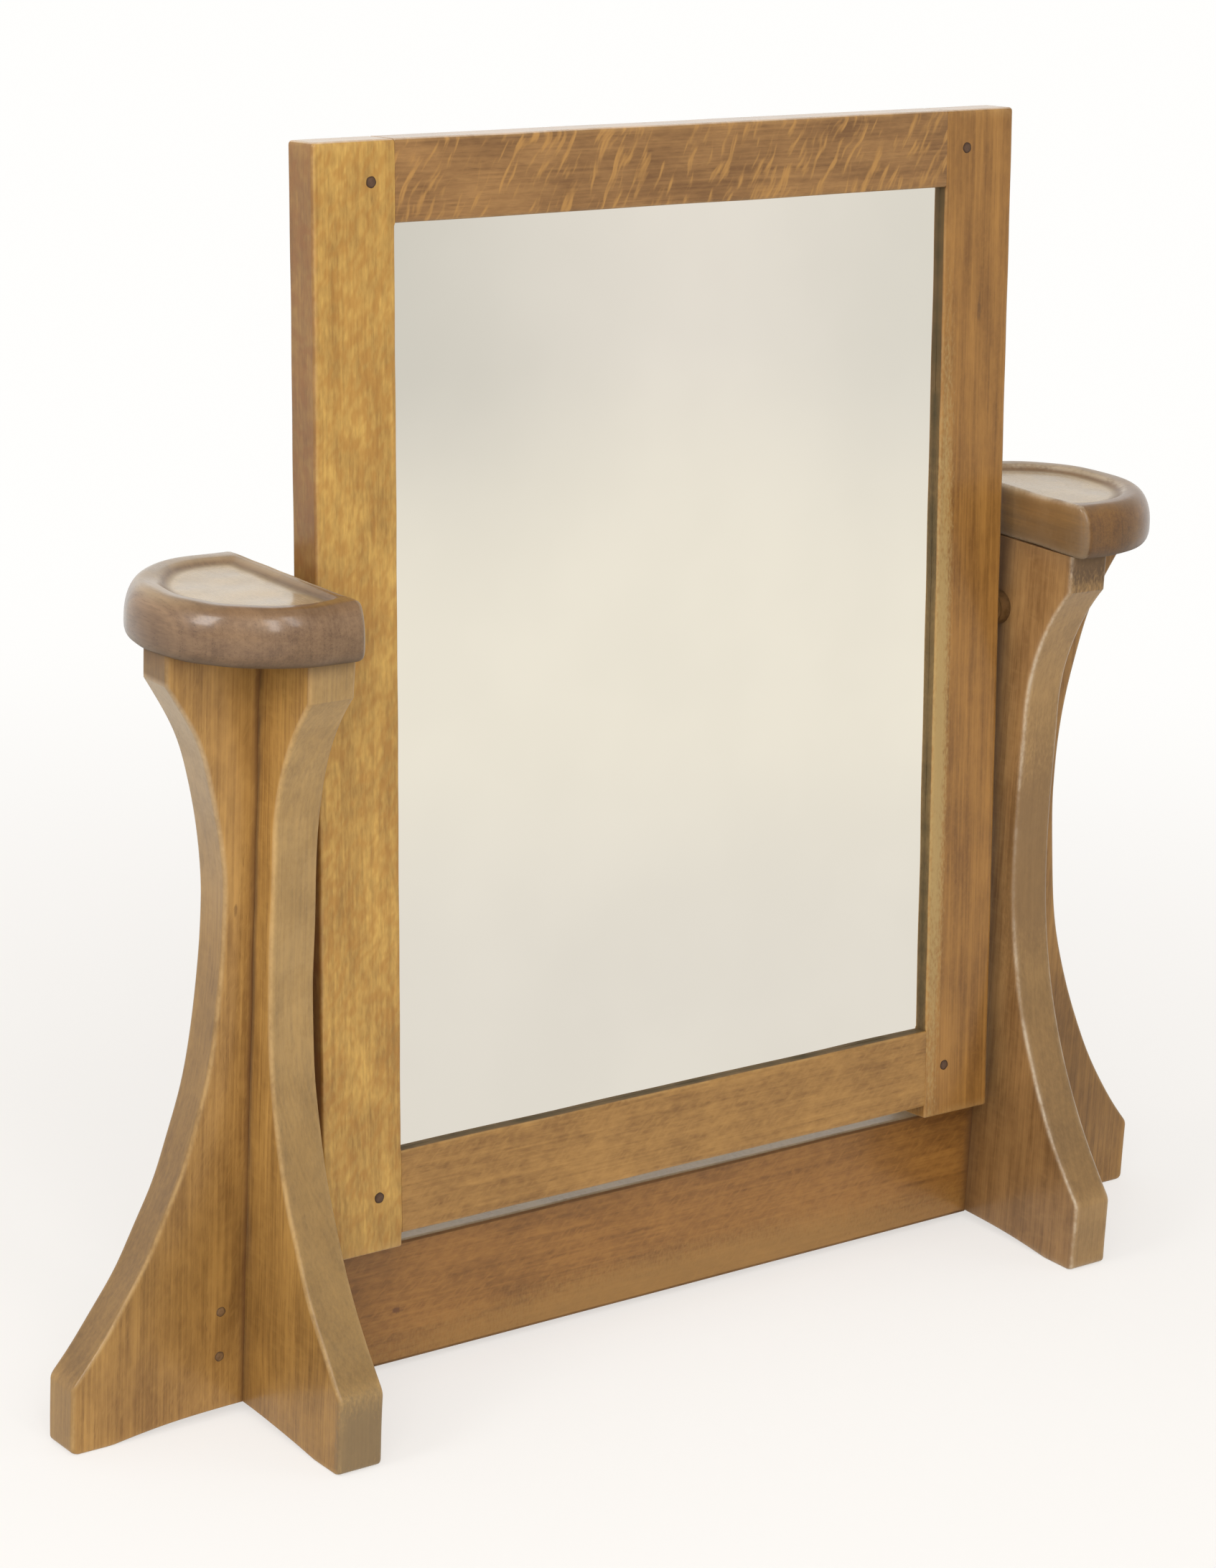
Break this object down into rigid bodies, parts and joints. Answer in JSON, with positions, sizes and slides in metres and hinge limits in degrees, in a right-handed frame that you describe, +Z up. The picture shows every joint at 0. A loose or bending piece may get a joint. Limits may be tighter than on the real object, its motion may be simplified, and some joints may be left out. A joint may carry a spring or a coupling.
{
  "type": "dressing table mirror",
  "caption": "Oak dressing table mirror: a pegged frame with a plain plate tilts between waisted T-shaped uprights that carry half-round dished trays and are tied by a low stretcher.",
  "frame": {"origin": "middle of the stand on the table top: the bottom centre of the bounding box", "axes": "+X along the width to the right as a person at the table sees it, -Y towards that person, +Z up"},
  "size_m": [0.798, 0.222, 0.7101],
  "materials": {
    "oak_frame": "waxed golden oak, hand tooled",
    "oak_stand": "waxed brown oak, hand tooled",
    "oak_trays": "waxed brown oak with a handled shine",
    "oak_pegs": "dark end grain",
    "oak_hidden": "plain sawn and planed oak",
    "mirror_glass": "silvered plate glass",
    "brass": "turned brass",
    "steel": "bright steel"
  },
  "bodies": {
    "stand": {"left_upright": "oak_stand", "right_upright": "oak_stand", "left_wing": "oak_stand", "right_wing": "oak_stand", "stretcher": "oak_stand", "left_wing_pegs": "oak_pegs", "right_wing_pegs": "oak_pegs", "left_tray": "oak_trays", "right_tray": "oak_trays", "left_tray_dowels": "oak_hidden", "right_tray_dowels": "oak_hidden", "left_pivot_pin": "steel", "right_pivot_pin": "steel", "left_collar": "brass", "right_collar": "brass"},
    "mirror_frame": {"left_stile": "oak_frame", "right_stile": "oak_frame", "top_rail": "oak_frame", "bottom_rail": "oak_frame", "frame_pegs": "oak_pegs", "mirror_plate": "mirror_glass", "back_board": "oak_hidden", "left_bead": "oak_hidden", "right_bead": "oak_hidden", "top_bead": "oak_hidden", "bottom_bead": "oak_hidden", "bead_pins": "steel", "left_bush": "brass", "right_bush": "brass"}
  },
  "joints": [
    {"name": "mirror_tilt", "type": "hinge", "parent": "stand", "child": "mirror_frame", "pos_m": [0, 0, 0.404], "axis": [1, 0, 0], "range_deg": [-56, 64]}
  ]
}
